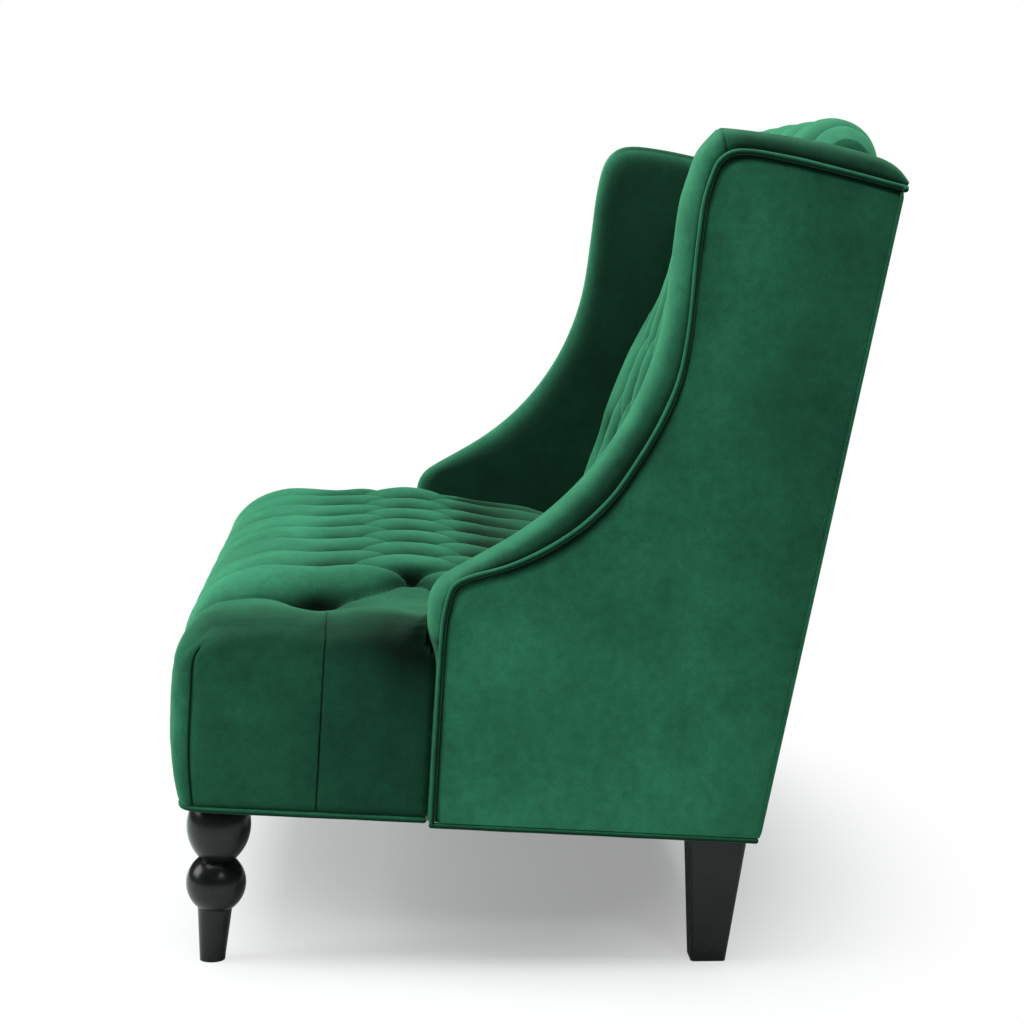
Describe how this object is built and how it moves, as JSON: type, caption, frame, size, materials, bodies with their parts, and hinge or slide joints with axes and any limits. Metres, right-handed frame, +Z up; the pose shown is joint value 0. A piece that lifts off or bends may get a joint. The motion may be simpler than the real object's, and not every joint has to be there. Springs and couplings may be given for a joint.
{
  "type": "loveseat",
  "caption": "Wing-sided upholstered loveseat with a diamond-tufted seat and rolled tufted back, welted side panels, turned front legs and tapered rear legs.",
  "frame": {"origin": "centre of the footprint's bounding box, on the floor", "axes": "+X across the seat to the sitter's left, +Y from front to rear, +Z up; the front faces -Y"},
  "size_m": [1.2226, 0.8407, 0.9976],
  "materials": {
    "velvet": "emerald green cut-pile velvet",
    "foam": "open-cell upholstery foam",
    "frame_wood": "planed softwood",
    "plywood": "sanded plywood",
    "webbing": "woven elastic webbing",
    "deck_cloth": "coarse woven deck cloth",
    "dust_cloth": "black non-woven dust cloth",
    "leg_lacquer": "black satin lacquer",
    "zinc_steel": "bright zinc"
  },
  "bodies": {
    "root": {"seat_cover": "velvet", "back_cover": "velvet", "wing_cover_left": "velvet", "wing_cover_right": "velvet", "seat_side_left": "velvet", "seat_side_right": "velvet", "side_panel_left": "velvet", "side_panel_right": "velvet", "back_panel": "velvet", "side_welt_left": "velvet", "side_welt_right": "velvet", "seat_base_welt": "velvet", "panel_base_welt_left": "velvet", "panel_base_welt_right": "velvet", "back_welt": "velvet", "seat_foam": "foam", "back_foam": "foam", "wing_foam_left": "foam", "wing_foam_right": "foam", "front_rail": "frame_wood", "rear_rail": "frame_wood", "side_rail_left": "frame_wood", "side_rail_right": "frame_wood", "seat_stretcher": "frame_wood", "corner_blocks": "frame_wood", "back_post_left": "frame_wood", "back_post_right": "frame_wood", "back_top_rail": "frame_wood", "back_bottom_rail": "frame_wood", "back_stile": "frame_wood", "wing_board_left": "plywood", "wing_board_right": "plywood", "seat_webbing": "webbing", "seat_webbing_cross": "webbing", "back_webbing": "webbing", "seat_deck": "deck_cloth", "dust_cover": "dust_cloth", "front_leg_left": "leg_lacquer", "front_leg_right": "leg_lacquer", "rear_leg_left": "leg_lacquer", "rear_leg_right": "leg_lacquer", "leg_plates": "zinc_steel", "hanger_bolts": "zinc_steel", "frame_bolts": "zinc_steel"}
  },
  "joints": []
}
